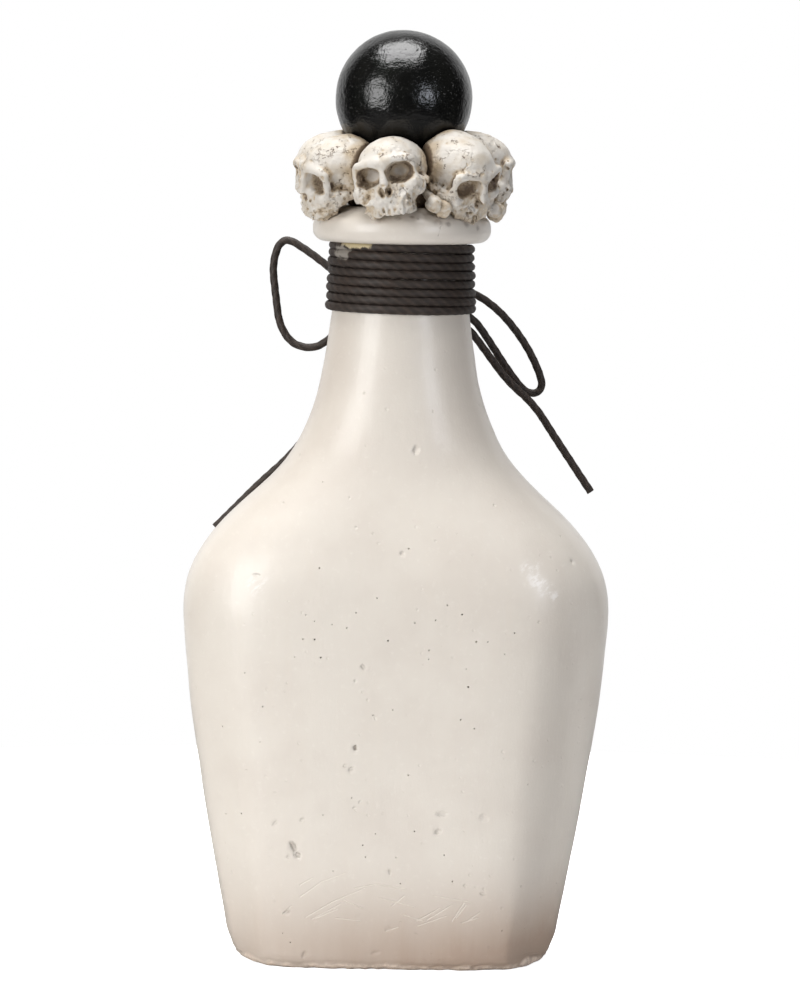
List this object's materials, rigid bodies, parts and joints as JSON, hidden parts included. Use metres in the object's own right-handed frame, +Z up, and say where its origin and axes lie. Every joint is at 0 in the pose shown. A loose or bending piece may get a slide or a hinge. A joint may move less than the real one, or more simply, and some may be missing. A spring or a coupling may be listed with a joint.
{
  "type": "poison bottle",
  "caption": "Flat-sided cream flask with a cord-bound neck and a lift-out cork stopper ringed with small skulls under a black ball.",
  "frame": {"origin": "middle of the foot, on the table", "axes": "+Z up through the neck, the front faces -Y, +X to the right seen from the front"},
  "size_m": [0.0792, 0.044, 0.1725],
  "materials": {
    "cream_paint": "cream chalky paint with a satin sheen over a bubbly casting, shaded taupe at the foot and neck",
    "bone_resin": "bone-white cast resin with a yellow-brown wash in the hollows",
    "cork": "natural cork, pitted",
    "bare_wood": "plain dowel",
    "black_gloss_paint": "thick gloss black paint on a turned wooden ball",
    "waxed_cord": "dark brown twisted waxed cord"
  },
  "bodies": {
    "flask": {"bottle": "cream_paint", "neck_winding": "waxed_cord", "bow_knot": "waxed_cord", "bow_loop_left": "waxed_cord", "bow_loop_right": "waxed_cord", "bow_tail_left": "waxed_cord", "bow_tail_right": "waxed_cord"},
    "stopper": {"cork": "cork", "resin_collar": "bone_resin", "ball": "black_gloss_paint", "dowel": "bare_wood", "bone_ends": "bone_resin", "skull_1": "bone_resin", "skull_2": "bone_resin", "skull_3": "bone_resin", "skull_4": "bone_resin", "skull_5": "bone_resin", "skull_6": "bone_resin", "skull_7": "bone_resin"}
  },
  "joints": [
    {"name": "stopper_lift", "type": "slide", "parent": "flask", "child": "stopper", "axis": [0, 0, 1], "range_m": [0, 0.045]}
  ]
}
